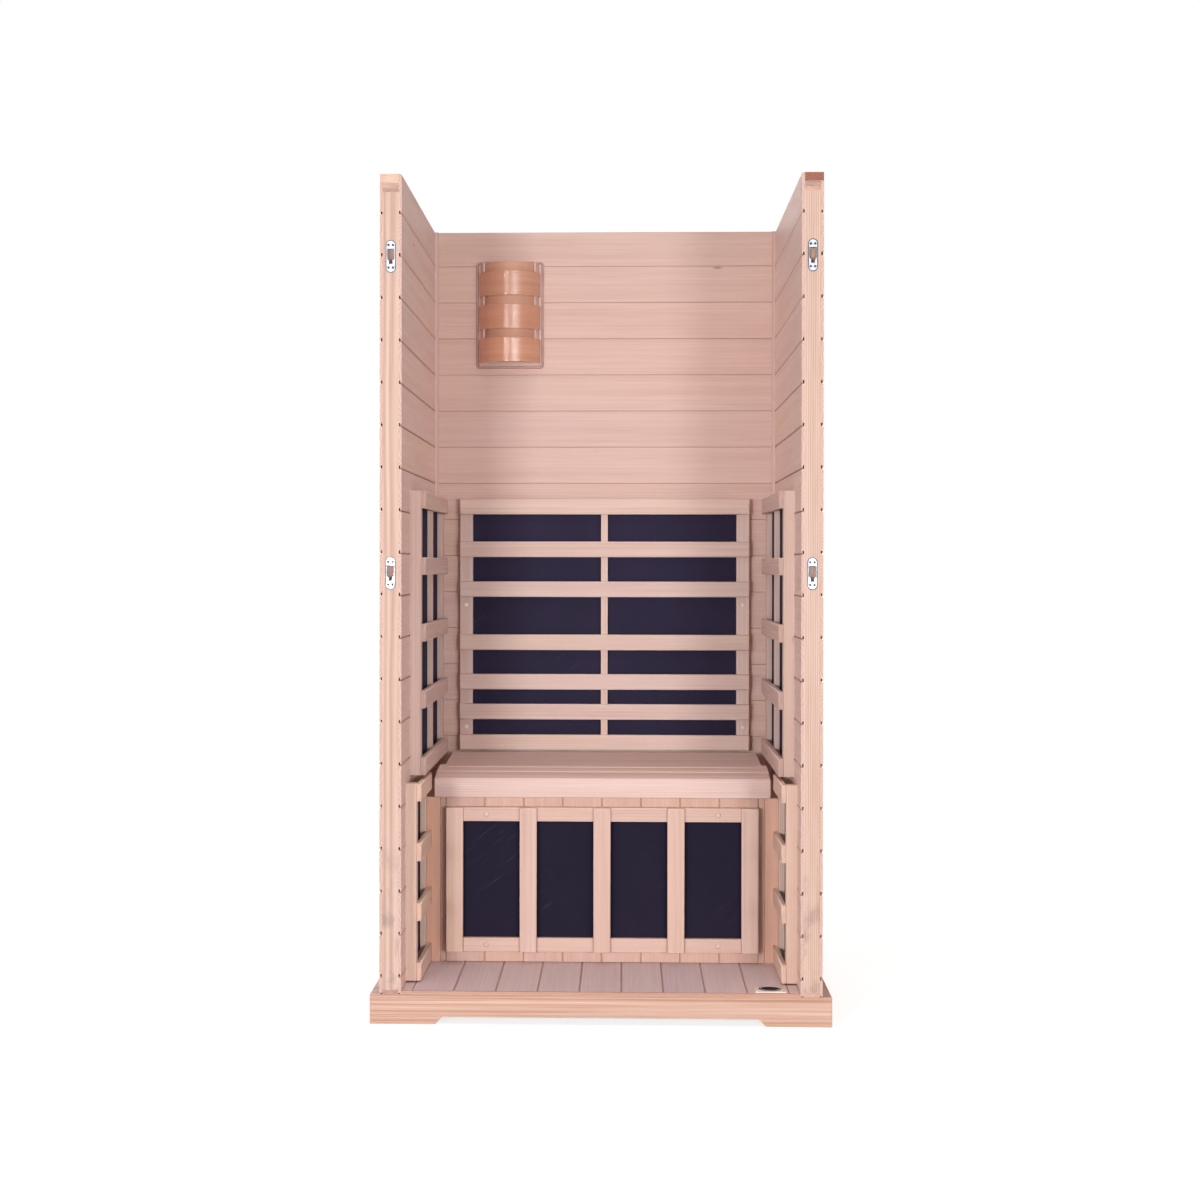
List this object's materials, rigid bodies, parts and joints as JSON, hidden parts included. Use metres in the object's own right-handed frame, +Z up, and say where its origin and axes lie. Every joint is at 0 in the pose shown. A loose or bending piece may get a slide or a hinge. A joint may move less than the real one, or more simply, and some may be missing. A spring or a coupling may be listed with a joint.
{
  "type": "infrared sauna cabin",
  "caption": "Open-fronted wooden infrared sauna cabin with boarded walls, dark heater panels behind slatted guards, a draw-out bench seat and a bowed wall lamp.",
  "frame": {"origin": "centre of the footprint, on the ground under the feet", "axes": "+X to the right of someone facing the open front, +Y to the back wall, +Z up"},
  "size_m": [0.99, 0.89, 1.824],
  "materials": {
    "softwood": "planed, unvarnished",
    "laminate": "planed, glued up in layers",
    "veneer": "satin",
    "carbon": "fine texture",
    "zinc": "bright zinc",
    "badge": "satin",
    "porcelain": "glazed",
    "bulb": "frosted"
  },
  "bodies": {
    "cabin": {"base_front_rail": "laminate", "base_rear_rail": "laminate", "base_left_rail": "laminate", "base_right_rail": "laminate", "base_middle_rail": "laminate", "foot_front_left": "laminate", "foot_front_right": "laminate", "foot_rear_left": "laminate", "foot_rear_right": "laminate", "floor_boards": "softwood", "floor_front_strip": "laminate", "floor_badge": "badge", "left_wall_frame": "softwood", "left_wall_front_stud": "laminate", "left_wall_top_rail": "laminate", "left_wall_inner_boards": "softwood", "left_wall_outer_boards": "softwood", "left_upper_latch_plate": "zinc", "left_lower_latch_plate": "zinc", "right_wall_frame": "softwood", "right_wall_front_stud": "laminate", "right_wall_top_rail": "laminate", "right_wall_inner_boards": "softwood", "right_wall_outer_boards": "softwood", "right_upper_latch_plate": "zinc", "right_lower_latch_plate": "zinc", "back_wall_frame": "softwood", "back_wall_inner_boards": "softwood", "back_wall_outer_boards": "softwood", "corner_bead_left": "softwood", "corner_bead_right": "softwood", "left_upper_guard": "softwood", "left_upper_heater": "carbon", "left_lower_guard": "softwood", "left_lower_heater": "carbon", "right_upper_guard": "softwood", "right_upper_heater": "carbon", "right_lower_guard": "softwood", "right_lower_heater": "carbon", "back_guard": "softwood", "back_heater": "carbon", "calf_guard": "softwood", "calf_heater": "carbon", "kick_panel": "softwood", "bench_support_left": "softwood", "bench_support_right": "softwood", "lamp_base": "veneer", "lamp_lower_slat": "veneer", "lamp_middle_slat": "veneer", "lamp_upper_slat": "veneer", "lamp_shade": "veneer", "lamp_holder": "porcelain", "lamp_bulb": "bulb"},
    "seat": {"seat_front_slat": "softwood", "seat_second_slat": "softwood", "seat_third_slat": "softwood", "seat_back_slat": "softwood", "seat_bearer_left": "softwood", "seat_bearer_right": "softwood"}
  },
  "joints": [
    {"name": "seat_draw", "type": "slide", "parent": "cabin", "child": "seat", "axis": [0, -1, 0], "range_m": [0, 0.19]}
  ]
}
